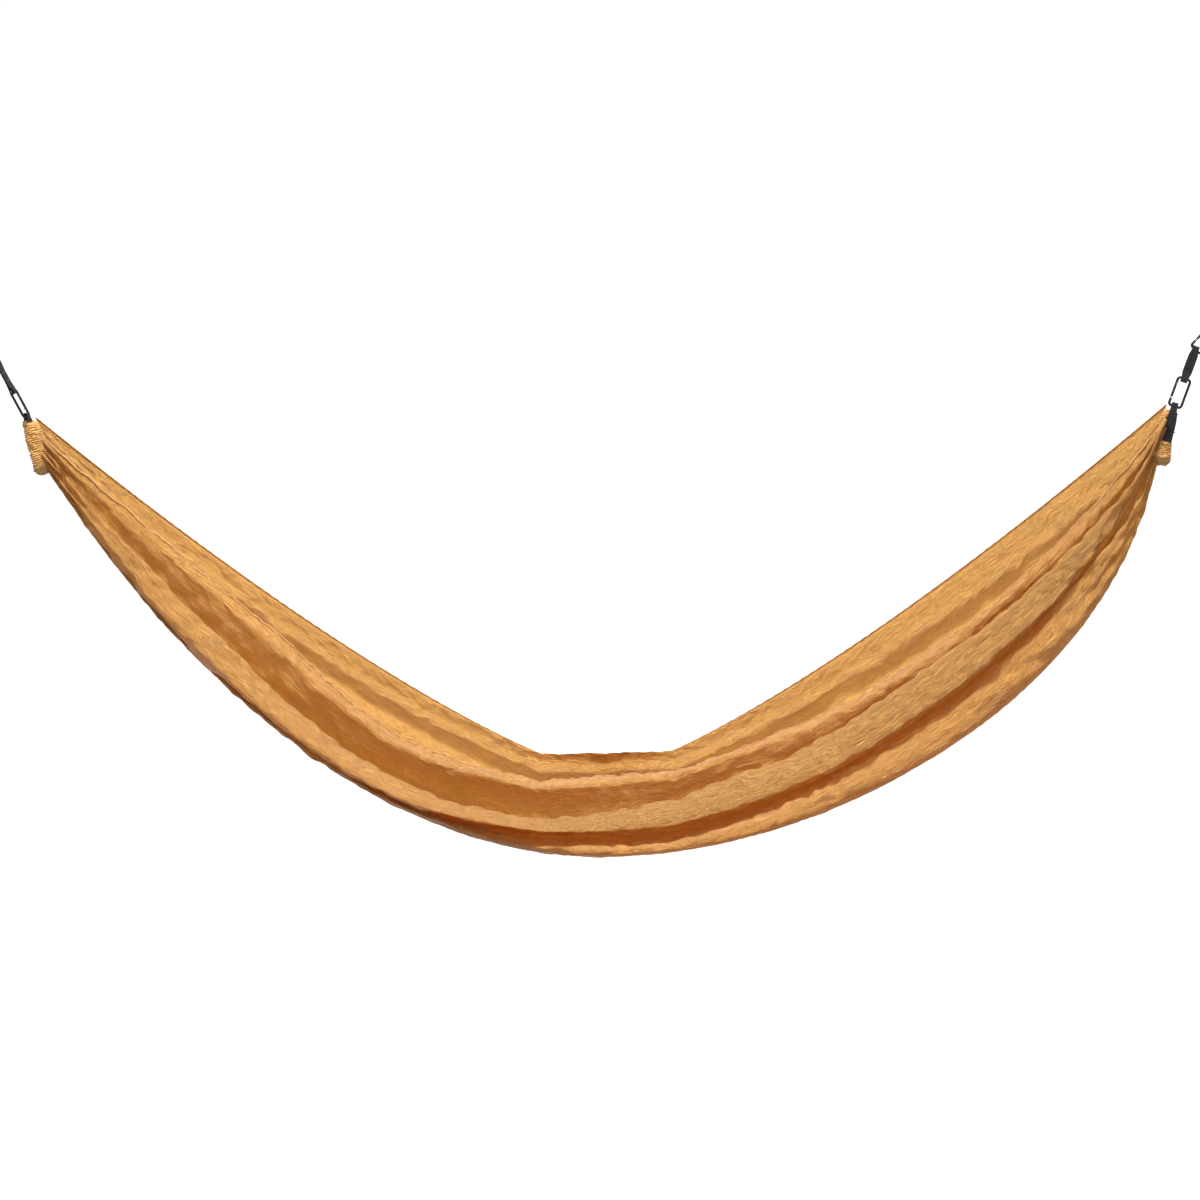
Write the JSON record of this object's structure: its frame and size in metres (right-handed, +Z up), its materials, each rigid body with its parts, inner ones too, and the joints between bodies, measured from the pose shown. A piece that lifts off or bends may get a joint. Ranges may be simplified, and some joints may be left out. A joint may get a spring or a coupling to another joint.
{
  "type": "camping hammock",
  "caption": "Gathered-end nylon hammock hanging empty, with end channels on webbing slings, short straps and small gated carabiners",
  "frame": {"origin": "left hooking point, the middle of the top inner bend of the left anchor carabiner", "axes": "+X runs to the right hooking point, +Y across the hammock to its far side, +Z up"},
  "size_m": [2.3467, 0.58, 0.9983],
  "materials": {
    "hammock_nylon": "thin plain-weave nylon, soft sheen, many fine creases",
    "channel_nylon": "the same nylon gathered tightly on the sling",
    "hem_nylon": "rolled and lockstitched nylon edge",
    "black_webbing": "flat woven nylon webbing",
    "black_thread": "bonded sewing thread in dense rows",
    "black_coated_metal": "black anodised aluminium rod, satin, worn at the bends",
    "spring_wire": "bright spring wire",
    "bright_steel": "plain steel pin"
  },
  "bodies": {
    "anchors": {"left_anchor_body": "black_coated_metal", "left_anchor_hinge_rivet": "bright_steel", "right_anchor_body": "black_coated_metal", "right_anchor_hinge_rivet": "bright_steel"},
    "hammock": {"bed_fabric": "hammock_nylon", "far_hem": "hem_nylon", "left_channel": "channel_nylon", "left_lower_body": "black_coated_metal", "left_lower_hinge_rivet": "bright_steel", "left_sling": "black_webbing", "left_sling_bartacks": "black_thread", "left_strap": "black_webbing", "left_strap_bartacks": "black_thread", "near_hem": "hem_nylon", "right_channel": "channel_nylon", "right_lower_body": "black_coated_metal", "right_lower_hinge_rivet": "bright_steel", "right_sling": "black_webbing", "right_sling_bartacks": "black_thread", "right_strap": "black_webbing", "right_strap_bartacks": "black_thread"},
    "left_anchor_gate": {"left_anchor_gate": "black_coated_metal", "left_anchor_gate_pusher": "bright_steel", "left_anchor_gate_spring": "spring_wire", "left_anchor_latch_pin": "bright_steel"},
    "left_lower_gate": {"left_lower_gate": "black_coated_metal", "left_lower_gate_pusher": "bright_steel", "left_lower_gate_spring": "spring_wire", "left_lower_latch_pin": "bright_steel"},
    "right_anchor_gate": {"right_anchor_gate": "black_coated_metal", "right_anchor_gate_pusher": "bright_steel", "right_anchor_gate_spring": "spring_wire", "right_anchor_latch_pin": "bright_steel"},
    "right_lower_gate": {"right_lower_gate": "black_coated_metal", "right_lower_gate_pusher": "bright_steel", "right_lower_gate_spring": "spring_wire", "right_lower_latch_pin": "bright_steel"}
  },
  "joints": [
    {"name": "rock", "type": "hinge", "parent": "anchors", "child": "hammock", "pos_m": [1.165, 0, -0.03777], "axis": [1, 0, 0], "range_deg": [-30, 30], "deforming": ["left_strap", "right_strap"]},
    {"name": "left_anchor_gate_hinge", "type": "hinge", "parent": "anchors", "child": "left_anchor_gate", "pos_m": [0.02906, 0.01141, -0.02476], "axis": [0.6841, -0.309, 0.6607], "range_deg": [0, 25], "stiffness_Nm_per_rad": 0.05, "springref_deg": -20.05},
    {"name": "left_lower_gate_hinge", "type": "hinge", "parent": "hammock", "child": "left_lower_gate", "pos_m": [0.08449, 0.01141, -0.12385], "axis": [0.8474, -0.309, 0.4318], "range_deg": [0, 25], "stiffness_Nm_per_rad": 0.05, "springref_deg": -20.05},
    {"name": "right_anchor_gate_hinge", "type": "hinge", "parent": "anchors", "child": "right_anchor_gate", "pos_m": [2.29505, 0.00167, -0.01908], "axis": [0.1001, 0.9903, -0.0967], "range_deg": [0, 25], "stiffness_Nm_per_rad": 0.05, "springref_deg": -20.05},
    {"name": "right_lower_gate_hinge", "type": "hinge", "parent": "hammock", "child": "right_lower_gate", "pos_m": [2.24867, 0.00167, -0.12626], "axis": [0.1308, 0.9903, -0.0476], "range_deg": [0, 25], "stiffness_Nm_per_rad": 0.05, "springref_deg": -20.05}
  ]
}
